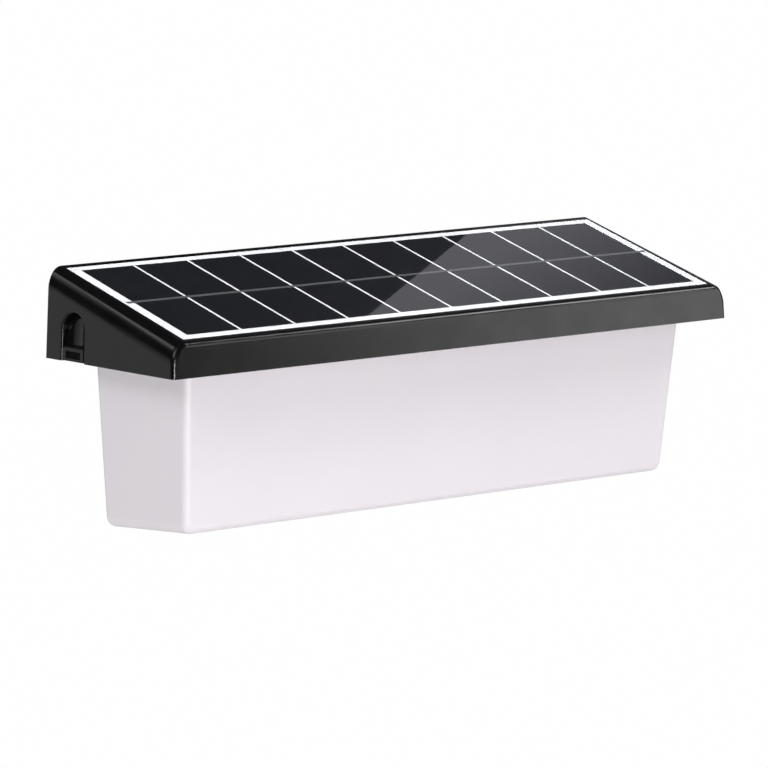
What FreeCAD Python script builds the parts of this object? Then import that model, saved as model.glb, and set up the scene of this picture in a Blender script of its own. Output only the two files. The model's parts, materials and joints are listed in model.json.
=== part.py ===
import FreeCAD, Part
import math
import os
from types import SimpleNamespace

import Sketcher
from FreeCAD import Placement, Rotation, Vector

# Solar wall light: a wedge housing with a solar panel in its sloping top and a milky diffuser below.
# X runs along the wall, the wall is the plane Y = 0, the light stands out towards -Y, and Z is up.
# The pieces are drawn above the housing's rim (Z = 0 there) and then lowered, so that the origin
# of the finished part is the middle of the wall bracket's back face. Lengths are in millimetres.

DRIVING_SIZES = {
    # housing
    "housing_length": 220.0,
    "housing_depth": 60.8,
    "front_height": 10.15,
    "slope_angle": 15.58,
    "end_draft": 2.65,
    "front_draft": 2.4,
    "wall": 2.2,
    "shoulder_width": 4.4,
    "shoulder_top_radius": 3.7,
    "shoulder_wall_radius": 9.0,
    "front_edge_radius": 1.8,
    "rear_edge_radius": 0.7,
    "roof_floor": 1.6,
    "rear_gap": 4.2,
    "rear_wall": 1.4,
    "rib_thickness": 1.6,
    "rib_length": 3.2,
    "rib_end_inset": 15.0,
    # solar panel, measured on the slope
    "panel_end_margin": 6.05,
    "panel_rear_margin": 2.95,
    "panel_front_margin": 3.07,
    "panel_gap": 0.3,
    "cover_thickness": 0.3,
    "backsheet_thickness": 2.0,
    "tape_thickness": 0.5,
    "tape_width": 2.4,
    "panel_end_border": 3.25,
    "panel_side_border": 2.6,
    "cell_gap": 1.3,
    "cell_thickness": 0.22,
    "ribbon_width": 1.1,
    "ribbon_thickness": 0.15,
    "ribbon_margin": 0.8,
    "grommet_board_gap": 12.0,
    "grommet_out": 15.0,
    "grommet_radius": 2.6,
    "grommet_lip": 0.9,
    # diffuser, hung below the rim from a flange above the bottom plate
    "flange_end_gap": 0.49,
    "flange_rear_gap": 1.19,
    "flange_boss_gap": 0.27,
    "lens_drop": 48.26,
    "lens_bottom_angle": 3.9,
    "lens_end_draft": 3.38,
    "lens_front_draft": 5.38,
    "lens_rear_draft": 1.07,
    "lens_wall": 1.6,
    "lens_edge_radius": 1.8,
    "lens_inner_radius": 0.9,
    "lens_end_radius": 3.4,
    "lens_clearance": 0.3,
    "flange_width": 1.3,
    "flange_thickness": 1.4,
    # bottom plate, gasket and tray
    "plate_recess": 1.6,
    "plate_thickness": 1.6,
    "plate_clearance": 0.25,
    "hook_width": 12.0,
    "hook_reach": 1.0,
    "hook_end_inset": 30.0,
    "gasket_thickness": 0.8,
    "tray_thickness": 1.2,
    "ear_width": 4.0,
    # screws
    "screw_radius": 1.0,
    "pilot_radius": 0.85,
    "screw_head_radius": 1.9,
    "screw_head_height": 1.2,
    "screw_hole_clearance": 0.2,
    "boss_radius": 2.2,
    "post_radius": 2.0,
    "front_screw_end_inset": 40.0,
    "end_screw_inset": 6.4,
    "end_screw_rear_gap": 3.6,
    "end_screw_front_inset": 6.2,
    "ear_step": 5.2,
    "plate_screw_reach": 3.8,
    "pilot_room": 1.0,
    "tray_screw_reach": 3.4,
    # light source
    "led_board_end_gap": 8.3,
    "led_board_front_gap": 2.8,
    "led_board_rear_gap": 3.0,
    "led_board_thickness": 1.0,
    "led_end_margin": 6.4,
    "led_row_inset": 3.0,
    "led_length": 3.5,
    "led_width": 2.8,
    "led_height": 0.8,
    "led_boss_height": 2.2,
    "led_screw_reach": 4.0,
    # battery
    "cell_radius": 9.1,
    "battery_length": 65.0,
    "battery_rear_gap": 1.8,
    "battery_roof_gap": 1.1,
    "battery_clearance": 0.25,
    "battery_end_room": 3.0,
    "nub_radius": 2.8,
    "nub_height": 0.8,
    "trough_wall": 1.2,
    "strap_width": 10.0,
    "strap_thickness": 0.8,
    "strap_foot": 5.4,
    "strap_screw_reach": 2.0,
    # control board and its parts
    "board_length": 38.0,
    "board_end_gap": 2.0,
    "board_width": 22.0,
    "board_thickness": 1.0,
    "board_lift": 1.6,
    "board_arm_width": 7.0,
    "board_arm_margin": 0.1,
    "board_arm_step": 0.25,
    "board_screw_inset": 3.2,
    "socket_length": 5.0,
    "socket_width": 4.6,
    "socket_height": 2.2,
    "socket_pitch": 5.6,
    "socket_rear_inset": 2.6,
    "capacitor_radius": 2.5,
    "capacitor_height": 4.2,
    "coil_size": 5.0,
    "coil_height": 2.4,
    "chip_length": 5.0,
    "chip_width": 4.0,
    "chip_height": 1.4,
    # switch and push button
    "button_inset": 6.4,
    "button_radius": 2.9,
    "button_flange_radius": 3.6,
    "button_flange_height": 0.8,
    "button_proud": 1.0,
    "button_dome": 0.6,
    "running_clearance": 0.1,
    "switch_size": 6.0,
    "switch_height": 3.4,
    "switch_travel": 0.5,
    "plunger_radius": 1.5,
    # leads
    "lead_radius": 0.45,
    "lead_pitch": 1.8,
    "lead_way_radius": 2.7,
    "panel_lead_drop": 8.0,
    "panel_lead_step": 3.0,
    "panel_lead_swing": 1.5,
    "panel_lead_lift": 0.6,
    "panel_lead_run": 5.0,
    "battery_lead_rise": 8.0,
    "battery_lead_lean": 1.0,
    "battery_lead_step": 9.0,
    "battery_lead_swing": 3.0,
    "battery_lead_lift": 2.0,
    "battery_lead_run": 8.0,
    "led_lead_lift": 0.2,
    "led_lead_run": 4.0,
    # wall bracket and release tabs
    "bracket_end_gap": 0.33,
    "bracket_lift": 4.0,
    "bracket_height": 14.3,
    "bracket_thickness": 1.8,
    "bracket_rib": 1.2,
    "bracket_rib_depth": 1.5,
    "wall_hole_spread": 160.0,
    "wall_hole_radius": 2.25,
    "hang_gap": 0.1,
    "notch_rear": 7.9,
    "notch_width": 10.4,
    "notch_height": 14.4,
    "notch_edge_radius": 0.7,
    "tab_side_gap": 0.3,
    "tab_thickness": 1.6,
    "tab_wall_gap": 0.5,
    "tab_bead_drop": 0.3,
    "tab_bar_depth": 2.0,
    "tab_bar_gap": 0.3,
    "tab_block_height": 4.6,
    "tab_block_sink": 0.15,
    "tab_foot_gap": 0.2,
    "tab_ledge_depth": 0.8,
    "tab_pad_drop": 2.3,
    "tab_ledge_radius": 0.6,
    "tab_dish_radius": 9.0,
    "tab_dish_depth": 1.2,
    "tab_mark_width": 7.0,
    "tab_mark_height": 2.2,
    "tab_mark_depth": 0.5,
    "tab_mark_low": 0.9,
    "latch_room": 5.4,
    "latch_wall": 1.5,
    "latch_front_gap": 1.7,
}

CELL_COUNT = 10
LED_COUNT = 18
LED_SCREW_COUNT = 4
# The screws of the light source stand this many steps of its row apart.
LED_SCREW_STEP = 4
# The leads pass the light source this many steps of its row from the middle.
LED_LEAD_STEP = 5
HOOK_COUNT = 3
RIB_COUNT = 4
SOCKET_COUNT = 3
# How far a cutting shape passes the face that it cuts through.
OVERCUT = 1.0
# How near the middle of an edge lies to a face that the edge belongs to.
NEAR = 0.01
# Share of the shorter of two runs of a lead that the bend between them takes.
BEND_SHARE = 0.45

doc = FreeCAD.newDocument("SolarWallLight")
sheet = doc.addObject("Spreadsheet::Sheet", "Sizes")
for row, (alias, value) in enumerate(DRIVING_SIZES.items(), start=1):
    sheet.set(f"A{row}", str(value))
    sheet.setAlias(f"A{row}", alias)
doc.recompute()


class Size:
    """A number together with the spreadsheet formula that it comes from."""

    def __init__(self, number, formula):
        self.number = number
        self.formula = formula

    def __add__(self, other):
        other = as_size(other)
        return Size(self.number + other.number, f"({self.formula} + {other.formula})")

    def __sub__(self, other):
        other = as_size(other)
        return Size(self.number - other.number, f"({self.formula} - {other.formula})")

    def __mul__(self, other):
        other = as_size(other)
        return Size(self.number * other.number, f"({self.formula} * {other.formula})")

    def __truediv__(self, other):
        other = as_size(other)
        return Size(self.number / other.number, f"({self.formula} / {other.formula})")

    def __neg__(self):
        return Size(-self.number, f"(-1 * {self.formula})")

    def __radd__(self, other):
        return as_size(other) + self

    def __rsub__(self, other):
        return as_size(other) - self

    def __rmul__(self, other):
        return as_size(other) * self


def as_size(value):
    if isinstance(value, Size):
        return value
    return Size(float(value), f"({float(value):.6f})")


def tan_of(angle):
    return Size(math.tan(math.radians(angle.number)), f"tan({angle.formula})")


def cos_of(angle):
    return Size(math.cos(math.radians(angle.number)), f"cos({angle.formula})")


def angle_of(rise, run):
    """Angle in degrees of a slope."""
    slant = rise / run
    return Size(math.degrees(math.atan(slant.number)), f"atan({slant.formula})")


def bind(target, prop, size):
    target.setExpression(prop, as_size(size).formula)


s = SimpleNamespace(**{name: Size(float(sheet.get(name)), f"Sizes.{name}") for name in DRIVING_SIZES})


# Sketches: an XZ sketch faces -Y, so its offset is the distance from the wall; a YZ sketch faces +X.


def origin_plane(body, role):
    return next(f for f in body.Origin.OriginFeatures if f.Role == role)


def new_body(name):
    return doc.addObject("PartDesign::Body", name)


def new_sketch(body, name, role, offset=0):
    sketch = body.newObject("Sketcher::SketchObject", name)
    sketch.AttachmentSupport = [(origin_plane(body, role), "")]
    sketch.MapMode = "FlatFace"
    bind(sketch, "AttachmentOffset.Base.z", offset)
    return sketch


def hold(sketch, kind, geometry, point, size):
    """Hold one coordinate of a point of the sketch at a size from the sketch's origin."""
    size = as_size(size)
    constraint = Sketcher.Constraint(kind, -1, 1, geometry, point, size.number)
    bind(sketch, f"Constraints[{sketch.addConstraint(constraint)}]", size)


def hold_point(sketch, geometry, point, across, up):
    hold(sketch, "DistanceX", geometry, point, across)
    hold(sketch, "DistanceY", geometry, point, up)


def hold_radius(sketch, geometry, size):
    constraint = Sketcher.Constraint("Radius", geometry, size.number)
    bind(sketch, f"Constraints[{sketch.addConstraint(constraint)}]", size)


def vector(across, up):
    return Vector(as_size(across).number, as_size(up).number, 0)


def add_polygon(sketch, points):
    first = sketch.GeometryCount
    count = len(points)
    for i in range(count):
        sketch.addGeometry(Part.LineSegment(vector(*points[i]), vector(*points[(i + 1) % count])))
    for i in range(count):
        after = first + (i + 1) % count
        sketch.addConstraint(Sketcher.Constraint("Coincident", first + i, 2, after, 1))
        hold_point(sketch, first + i, 1, *points[i])


def add_rectangle(sketch, across, up):
    (left, right), (low, high) = across, up
    add_polygon(sketch, [(left, low), (right, low), (right, high), (left, high)])


def add_circle(sketch, across, up, radius):
    circle = sketch.addGeometry(Part.Circle(vector(across, up), Vector(0, 0, 1), radius.number))
    hold_point(sketch, circle, 3, across, up)
    hold_radius(sketch, circle, radius)


def add_arch(sketch, left, right, low, high):
    """Upright outline whose top is half a circle as wide as the outline."""
    radius = (right - left) / 2
    spring = high - radius
    middle = (left + right) / 2
    first = sketch.GeometryCount
    corners = [(left, spring), (left, low), (right, low), (right, spring)]
    for start, end in zip(corners, corners[1:]):
        sketch.addGeometry(Part.LineSegment(vector(*start), vector(*end)))
    crown = Part.Circle(vector(middle, spring), Vector(0, 0, 1), radius.number)
    arc = sketch.addGeometry(Part.ArcOfCircle(crown, 0, math.pi))
    sketch.addConstraint(Sketcher.Constraint("Coincident", first, 2, first + 1, 1))
    sketch.addConstraint(Sketcher.Constraint("Coincident", first + 1, 2, first + 2, 1))
    sketch.addConstraint(Sketcher.Constraint("Coincident", first + 2, 2, arc, 1))
    sketch.addConstraint(Sketcher.Constraint("Coincident", arc, 2, first, 1))
    for line, corner in zip(range(first, first + 3), corners):
        hold_point(sketch, line, 1, *corner)
    hold_point(sketch, first + 2, 2, *corners[3])
    hold(sketch, "DistanceY", arc, 3, spring)


# Features of a body.


def extrude(body, kind, name, sketch, length, reverse=False, both_ways=False):
    feature = body.newObject(f"PartDesign::{kind}", name)
    feature.Profile = sketch
    bind(feature, "Length", length)
    feature.Reversed = reverse
    feature.Midplane = both_ways
    return feature


def loft(body, kind, name, sketches):
    feature = body.newObject(f"PartDesign::{kind}Loft", name)
    feature.Profile = sketches[0]
    feature.Sections = sketches[1:]
    feature.Ruled = True
    return feature


def round_edges(body, name, wanted, radius):
    """Fillet the edges of the body's last feature that the test accepts."""
    doc.recompute()
    base = body.Tip
    names = [f"Edge{i}" for i, edge in enumerate(base.Shape.Edges, start=1) if wanted(edge)]
    feature = body.newObject("PartDesign::Fillet", name)
    feature.Base = (base, names)
    bind(feature, "Radius", radius)
    doc.recompute()
    return feature


def middle_of(edge):
    return edge.valueAt((edge.FirstParameter + edge.LastParameter) / 2)


# Primitives and their combinations.


def box(name, x, y, z):
    """Box between the low and high ends given for each axis."""
    item = doc.addObject("Part::Box", name)
    for prop, axis, (low, high) in zip(("Length", "Width", "Height"), "xyz", (x, y, z)):
        bind(item, prop, as_size(high) - low)
        bind(item, f"Placement.Base.{axis}", low)
    return item


def rod(name, along, centre, span, radius):
    """Cylinder along an axis; centre holds its other two coordinates in the order x, y, z."""
    item = doc.addObject("Part::Cylinder", name)
    turns = {
        "x": Rotation(Vector(0, 1, 0), 90),
        "y": Rotation(Vector(1, 0, 0), -90),
        "z": Rotation(),
    }
    item.Placement = Placement(Vector(), turns[along])
    others = [axis for axis in "xyz" if axis != along]
    for axis, place in zip(others, centre):
        bind(item, f"Placement.Base.{axis}", place)
    low, high = span
    bind(item, f"Placement.Base.{along}", low)
    bind(item, "Height", as_size(high) - low)
    bind(item, "Radius", radius)
    return item


def fuse(name, *pieces):
    item = doc.addObject("Part::MultiFuse", name)
    item.Shapes = list(pieces)
    item.Refine = True
    return item


def cut(name, base, *tools):
    item = doc.addObject("Part::Cut", name)
    item.Base = base
    item.Tool = tools[0] if len(tools) == 1 else fuse(f"{name}_tools", *tools)
    item.Refine = True
    return item


def common(name, *pieces):
    item = doc.addObject("Part::MultiCommon", name)
    item.Shapes = list(pieces)
    return item


def group(name, pieces):
    item = doc.addObject("Part::Compound", name)
    item.Links = list(pieces)
    return item


def centred(middle, width):
    return (middle - width / 2, middle + width / 2)


def spread(width, count):
    """Places of a row of equal steps across a width, centred on zero."""
    return [width * (i / (count - 1) - 0.5) for i in range(count)]


# Levels and faces that several pieces share, above the rim and out from the wall.

half_length = s.housing_length / 2
slope = tan_of(s.slope_angle)
rear_height = s.front_height + s.housing_depth * slope
end_lean = tan_of(s.end_draft)
front_lean = tan_of(s.front_draft)
recess_depth = s.backsheet_thickness + s.tape_thickness


def top_height(out):
    return rear_height - out * slope


def ceiling(out):
    return top_height(out) - (recess_depth + s.roof_floor) / cos_of(s.slope_angle)


def end_inside(up):
    """Inner face of the end wall at a height above the rim."""
    return half_length - s.wall - up * end_lean


cavity_rear = s.rear_gap + s.rear_wall
cavity_front = s.housing_depth - s.wall - s.front_height * front_lean
plate_top = s.plate_recess + s.plate_thickness
flange_top = plate_top + s.flange_thickness
tray_bottom = flange_top + s.gasket_thickness
tray_top = tray_bottom + s.tray_thickness
bracket_top = s.bracket_lift + s.bracket_height
latch_ceiling = bracket_top + s.tab_wall_gap
latch_outside = end_inside(latch_ceiling)
latch_inside = latch_outside - s.latch_room
sealed_end = latch_inside - s.latch_wall
notch_front = s.notch_rear + s.notch_width
latch_front = notch_front + s.latch_front_gap
sealed_rear_out = latch_front + s.latch_wall
end_screw_x = half_length - s.end_screw_inset
end_screw_rear_out = sealed_rear_out + s.end_screw_rear_gap
end_screw_front_out = cavity_front - s.end_screw_front_inset
front_screw_out = cavity_front - s.boss_radius
button_x = half_length - s.button_inset
button_out = (end_screw_rear_out + end_screw_front_out) / 2
board_right = sealed_end - s.board_end_gap
board_left = board_right - s.board_length
board_front = button_out + s.board_arm_width / 2 + s.board_arm_step
board_rear = board_front - s.board_width
grommet_across = board_left - s.grommet_board_gap
lowering = -(s.bracket_lift + s.bracket_height / 2)
flange_half = sealed_end - s.flange_end_gap
flange_front = front_screw_out - s.boss_radius - s.flange_boss_gap
flange_rear = cavity_rear + s.flange_rear_gap


def lens_half(up):
    """Half length of the diffuser's outside at a height above the rim."""
    return flange_half - s.flange_width - (plate_top - up) * tan_of(s.lens_end_draft)


def lens_front_out(up):
    return flange_front - s.flange_width - (plate_top - up) * tan_of(s.lens_front_draft)


def lens_rear_out(up):
    return flange_rear + s.flange_width + (plate_top - up) * tan_of(s.lens_rear_draft)


lens_mouth_half = lens_half(flange_top) - s.lens_wall
lens_mouth_front = lens_front_out(flange_top) - s.lens_wall
lens_mouth_rear = lens_rear_out(flange_top) + s.lens_wall

ends = (-end_screw_x, end_screw_x)
front_screws = [(x, -front_screw_out) for x in spread(2 * (sealed_end - s.front_screw_end_inset), 3)]
end_rear_screws = [(x, -end_screw_rear_out) for x in ends]
end_front_screws = [(x, -end_screw_front_out) for x in ends]
plate_screw_places = front_screws + end_rear_screws + end_front_screws
ear_outs = (end_screw_rear_out + s.ear_step, end_screw_front_out - s.ear_step)
tray_screw_places = [(x, -out) for x in ends for out in ear_outs]
hook_places = spread(2 * (sealed_end - s.hook_end_inset), HOOK_COUNT)
rib_places = spread(2 * (sealed_end - s.rib_end_inset), RIB_COUNT)
clear_radius = s.screw_radius + s.screw_hole_clearance


# Housing: a ruled loft from the wall to the front, with a two-arc shoulder along each end.


def add_shoulder_outline(sketch, height):
    """Cross-section of the wedge: leaning end walls, then a wide and a tight arc up to the flat top."""
    top_half = half_length - height * end_lean - s.shoulder_width
    wide, tight = s.shoulder_wall_radius, s.shoulder_top_radius
    lean = math.radians(s.end_draft.number)
    up_wall = Vector(-math.sin(lean), math.cos(lean), 0)
    outward = Vector(math.cos(lean), math.sin(lean), 0)
    corner = vector(half_length, 0)
    tight_centre = vector(top_half, height - tight)
    start = corner - outward * wide.number
    along = up_wall.dot(start - tight_centre)
    apart = (start - tight_centre).Length
    reach = wide.number - tight.number
    rise = -along - math.sqrt(along**2 - apart**2 + reach**2)
    wide_centre = start + up_wall * rise
    join = math.atan2(tight_centre.y - wide_centre.y, tight_centre.x - wide_centre.x)
    wall_top = corner + up_wall * rise

    def flip(point):
        return Vector(-point.x, point.y, 0)

    def arc(centre, radius, first, last):
        return Part.ArcOfCircle(Part.Circle(centre, Vector(0, 0, 1), radius.number), first, last)

    rim = sketch.addGeometry(Part.LineSegment(flip(corner), corner))
    right_wall = sketch.addGeometry(Part.LineSegment(corner, wall_top))
    right_wide = sketch.addGeometry(arc(wide_centre, wide, lean, join))
    right_tight = sketch.addGeometry(arc(tight_centre, tight, join, math.pi / 2))
    top = sketch.addGeometry(Part.LineSegment(vector(top_half, height), vector(-top_half, height)))
    left_tight = sketch.addGeometry(arc(flip(tight_centre), tight, math.pi / 2, math.pi - join))
    left_wide = sketch.addGeometry(arc(flip(wide_centre), wide, math.pi - join, math.pi - lean))
    left_wall = sketch.addGeometry(Part.LineSegment(flip(wall_top), flip(corner)))
    chain = [right_wall, right_wide, right_tight, top, left_tight, left_wide, left_wall]
    sketch.addConstraint(Sketcher.Constraint("Coincident", rim, 2, right_wall, 1))
    sketch.addConstraint(Sketcher.Constraint("Coincident", left_wall, 2, rim, 1))
    for before, after in zip(chain, chain[1:]):
        sketch.addConstraint(Sketcher.Constraint("Tangent", before, 2, after, 1))
    hold_point(sketch, rim, 1, -half_length, 0)
    hold_point(sketch, rim, 2, half_length, 0)
    hold_point(sketch, top, 1, top_half, height)
    hold_point(sketch, top, 2, -top_half, height)
    for wide_arc, tight_arc in ((right_wide, right_tight), (left_wide, left_tight)):
        hold_radius(sketch, wide_arc, wide)
        hold_radius(sketch, tight_arc, tight)
    angle = sketch.addConstraint(Sketcher.Constraint("Angle", right_wall, math.pi / 2 + lean))
    bind(sketch, f"Constraints[{angle}]", s.end_draft + 90)
    sketch.addConstraint(Sketcher.Constraint("Equal", right_wall, left_wall))


def shape_housing_outside(body):
    rear = new_sketch(body, "rear_section", "XZ_Plane", 0)
    add_shoulder_outline(rear, rear_height)
    front = new_sketch(body, "front_section", "XZ_Plane", s.housing_depth)
    add_shoulder_outline(front, s.front_height)
    loft(body, "Additive", "wedge", [rear, front])

    lean = new_sketch(body, "front_lean", "YZ_Plane")
    add_polygon(
        lean,
        [
            (-s.housing_depth, 0),
            (-s.housing_depth + rear_height * front_lean, rear_height),
            (-s.housing_depth - OVERCUT, rear_height),
            (-s.housing_depth - OVERCUT, 0),
        ],
    )
    extrude(body, "Pocket", "leaning_front", lean, s.housing_length + 2 * OVERCUT, both_ways=True)

    depth = s.housing_depth.number

    def on_front(edge):
        place = middle_of(edge)
        leaning_face = -depth + place.z * front_lean.number
        return abs(place.y - leaning_face) < NEAR < place.z

    round_edges(body, "front_outline_round", on_front, s.front_edge_radius)

    def on_rear_top(edge):
        place = middle_of(edge)
        return abs(place.y) < NEAR and abs(place.z - rear_height.number) < NEAR

    round_edges(body, "rear_top_round", on_rear_top, s.rear_edge_radius)


def hollow_housing(body):
    main = []
    for out in (cavity_rear, cavity_front):
        section = new_sketch(body, "main_cavity_section", "XZ_Plane", out)
        add_rectangle(section, (-sealed_end, sealed_end), (-OVERCUT, ceiling(out)))
        main.append(section)
    loft(body, "Subtractive", "main_cavity", main)

    for side in (-1, 1):
        end_sections = []
        for out in (sealed_rear_out, cavity_front):
            section = new_sketch(body, "end_cavity_section", "XZ_Plane", out)
            high = ceiling(out)
            inner = side * (sealed_end - OVERCUT)
            outer_low = side * end_inside(as_size(-OVERCUT))
            outer_high = side * end_inside(high)
            add_polygon(
                section, [(inner, -OVERCUT), (outer_low, -OVERCUT), (outer_high, high), (inner, high)]
            )
            end_sections.append(section)
        loft(body, "Subtractive", "end_cavity", end_sections)

        latch = []
        for up in (as_size(-OVERCUT), latch_ceiling):
            section = new_sketch(body, "latch_pocket_section", "XY_Plane", up)
            inner, outer = side * latch_inside, side * end_inside(up)
            add_polygon(
                section,
                [(inner, -latch_front), (outer, -latch_front), (outer, OVERCUT), (inner, OVERCUT)],
            )
            latch.append(section)
        loft(body, "Subtractive", "latch_pocket", latch)

    recess = new_sketch(body, "bracket_recess_outline", "XZ_Plane", -OVERCUT)
    reach = latch_inside + OVERCUT
    ledge_top = s.bracket_lift - s.hang_gap
    shelf_bottom = bracket_top + s.hang_gap
    add_rectangle(recess, (-reach, reach), (ledge_top, shelf_bottom))
    extrude(body, "Pocket", "bracket_recess", recess, s.rear_gap + OVERCUT, reverse=True)

    cores = new_sketch(body, "rear_core_outline", "XZ_Plane", -OVERCUT)
    core_levels = [
        (as_size(-OVERCUT), ledge_top - s.rib_thickness),
        (shelf_bottom + s.rib_thickness, top_height(s.rear_gap) - s.wall),
    ]
    for levels in core_levels:
        add_rectangle(cores, (-sealed_end, sealed_end), levels)
    extrude(body, "Pocket", "rear_cores", cores, s.rear_gap + OVERCUT, reverse=True)


def fit_housing(body):
    """Panel recess, arched notches, hook slots, screw bosses and hold-down ribs."""
    recess = new_sketch(body, "panel_recess_outline", "XY_Plane", rear_height)
    recess.AttachmentOffset = Placement(
        Vector(0, 0, rear_height.number), Rotation(Vector(1, 0, 0), s.slope_angle.number)
    )
    bind(recess, "AttachmentOffset.Rotation.Angle", s.slope_angle)
    reach = panel_half + s.panel_gap
    add_rectangle(recess, (-reach, reach), (panel_front - s.panel_gap, panel_rear + s.panel_gap))
    extrude(body, "Pocket", "panel_recess", recess, recess_depth)

    lead_hole = new_sketch(body, "lead_hole_outline", "XY_Plane", ceiling(s.grommet_out) - OVERCUT)
    add_circle(lead_hole, grommet_across, -s.grommet_out, s.grommet_radius)
    drill = s.roof_floor / cos_of(s.slope_angle) + s.grommet_radius * slope + 2 * OVERCUT
    extrude(body, "Pocket", "lead_hole", lead_hole, drill, reverse=True)

    for side in (-1, 1):
        start = side * (latch_outside - OVERCUT)
        notch = new_sketch(body, "notch_outline", "YZ_Plane", start)
        add_arch(notch, -notch_front, -s.notch_rear, as_size(-OVERCUT), s.notch_height)
        through = s.wall + s.tab_wall_gap + latch_ceiling * end_lean + 3 * OVERCUT
        extrude(body, "Pocket", "notch", notch, through, reverse=side > 0)

    def on_notch(edge):
        place = middle_of(edge)
        outside = half_length.number - place.z * end_lean.number
        in_notch = -notch_front.number - NEAR < place.y < -s.notch_rear.number + NEAR
        return in_notch and place.z > NEAR and abs(abs(place.x) - outside) < NEAR

    round_edges(body, "notch_round", on_notch, s.notch_edge_radius)

    slots = new_sketch(body, "hook_slot_outline", "XZ_Plane", cavity_rear - s.hook_reach)
    for x in hook_places:
        across = centred(x, s.hook_width + 2 * s.plate_clearance)
        add_rectangle(slots, across, (s.plate_recess - s.plate_clearance, plate_top + s.plate_clearance))
    extrude(body, "Pocket", "hook_slots", slots, s.hook_reach + OVERCUT, reverse=True)

    rows = [
        ("front", front_screws, front_screw_out),
        ("end_rear", end_rear_screws, end_screw_rear_out),
        ("end_front", end_front_screws, end_screw_front_out),
    ]
    for name, places, out in rows:
        bosses = new_sketch(body, f"{name}_boss_outline", "XY_Plane", plate_top)
        for x, y in places:
            add_circle(bosses, x, y, s.boss_radius)
        extrude(body, "Pad", f"{name}_bosses", bosses, ceiling(out - s.boss_radius) - plate_top)
        pilots = new_sketch(body, f"{name}_pilot_outline", "XY_Plane", plate_top - OVERCUT)
        for x, y in places:
            add_circle(pilots, x, y, s.pilot_radius)
        depth = OVERCUT + s.plate_screw_reach - s.plate_thickness + s.pilot_room
        extrude(body, "Pocket", f"{name}_pilots", pilots, depth, reverse=True)

    rib_rows = [
        ("rear", cavity_rear - s.rear_wall / 2, flange_rear + s.rib_length),
        ("front", flange_front - s.rib_length, flange_front),
    ]
    for name, near, far in rib_rows:
        ribs = new_sketch(body, f"{name}_rib_outline", "XY_Plane", tray_top)
        for x in rib_places:
            add_rectangle(ribs, centred(x, s.rib_thickness), (-far, -near))
        extrude(body, "Pad", f"{name}_hold_down_ribs", ribs, ceiling(near) - tray_top)


def make_housing():
    body = new_body("housing")
    shape_housing_outside(body)
    hollow_housing(body)
    fit_housing(body)
    return body


# Solar panel, drawn in the sloping frame: Y up the slope from the housing's rear top edge, Z outwards.

panel_half = half_length - s.panel_end_margin
panel_rear = -s.panel_rear_margin
panel_front = s.panel_front_margin - s.housing_depth / cos_of(s.slope_angle)
panel_middle = (panel_rear + panel_front) / 2
cell_pitch = (2 * (panel_half - s.panel_end_border) + s.cell_gap) / CELL_COUNT
cell_width = cell_pitch - s.cell_gap
cell_height = panel_rear - panel_front - 2 * s.panel_side_border
backsheet_top = as_size(0)
backsheet_bottom = backsheet_top - s.backsheet_thickness
tape_bottom = backsheet_bottom - s.tape_thickness


def panel_slab(name, low, high):
    return box(name, (-panel_half, panel_half), (panel_front, panel_rear), (low, high))


def cell_boxes(name):
    pieces = []
    for i in range(CELL_COUNT):
        middle = cell_pitch * (i - (CELL_COUNT - 1) / 2)
        pieces.append(
            box(
                f"{name}_{i}",
                centred(middle, cell_width),
                centred(panel_middle, cell_height),
                (backsheet_top - s.cell_thickness, backsheet_top),
            )
        )
    return pieces


def ribbon_strip(name):
    reach = panel_half - s.ribbon_margin
    levels = (backsheet_top, backsheet_top + s.ribbon_thickness)
    return box(name, (-reach, reach), centred(panel_middle, s.ribbon_width), levels)


def make_panel():
    """Cells set in a backsheet level with the housing's top, a ribbon over them and a thin clear cover."""
    blank = panel_slab("backsheet_slab", backsheet_bottom, backsheet_top)
    backsheet = cut("panel_backsheet", blank, *cell_boxes("cell_pocket"))
    cells = group("solar_cells", cell_boxes("solar_cell"))
    ribbon = ribbon_strip("ribbon_strip")
    film = panel_slab("cover_film", backsheet_top, backsheet_top + s.cover_thickness)
    cover = cut("panel_cover", film, ribbon_strip("cover_groove"))
    window = box(
        "tape_window",
        (-panel_half + s.tape_width, panel_half - s.tape_width),
        (panel_front + s.tape_width, panel_rear - s.tape_width),
        (tape_bottom - OVERCUT, backsheet_bottom + OVERCUT),
    )
    tape = cut("panel_tape", panel_slab("tape_slab", tape_bottom, backsheet_bottom), window)
    return {
        "panel_backsheet": backsheet,
        "cell_ribbon": group("ribbon_set", [ribbon]),
        "solar_cells": cells,
        "panel_cover": cover,
        "panel_tape": tape,
    }


panel_lead_holes = [(grommet_across + step, -s.grommet_out) for step in spread(s.lead_pitch, 2)]
lead_hole_radius = s.lead_radius + s.running_clearance / 2


def make_lead_grommet():
    """Rubber plug in the lead hole: a barrel through the floor with a lip below it, and two lead holes."""
    x, y = grommet_across, -s.grommet_out
    roof = ceiling(s.grommet_out)
    low = roof - s.grommet_radius * slope - 2 * s.grommet_lip
    barrel_top = roof + s.roof_floor / cos_of(s.slope_angle) - s.grommet_radius * slope
    barrel = rod("grommet_barrel", "z", (x, y), (low, barrel_top), s.grommet_radius - s.running_clearance)
    lip = rod("grommet_lip", "z", (x, y), (low, low + s.grommet_lip), s.grommet_radius + s.grommet_lip)
    holes = [
        rod("grommet_hole", "z", place, (low - OVERCUT, barrel_top + OVERCUT), lead_hole_radius)
        for place in panel_lead_holes
    ]
    return cut("lead_grommet", fuse("grommet_solid", barrel, lip), *holes)


# Diffuser: a tapered box with a tilted bottom, a rounded edge all round, and a flange at its mouth.


def lens_bottom(out, rise):
    """Height of the bottom, raised square to itself, at a distance from the wall."""
    fall = (lens_front_out(-s.lens_drop) - out) * tan_of(s.lens_bottom_angle)
    return rise / cos_of(s.lens_bottom_angle) - s.lens_drop - fall


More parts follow.
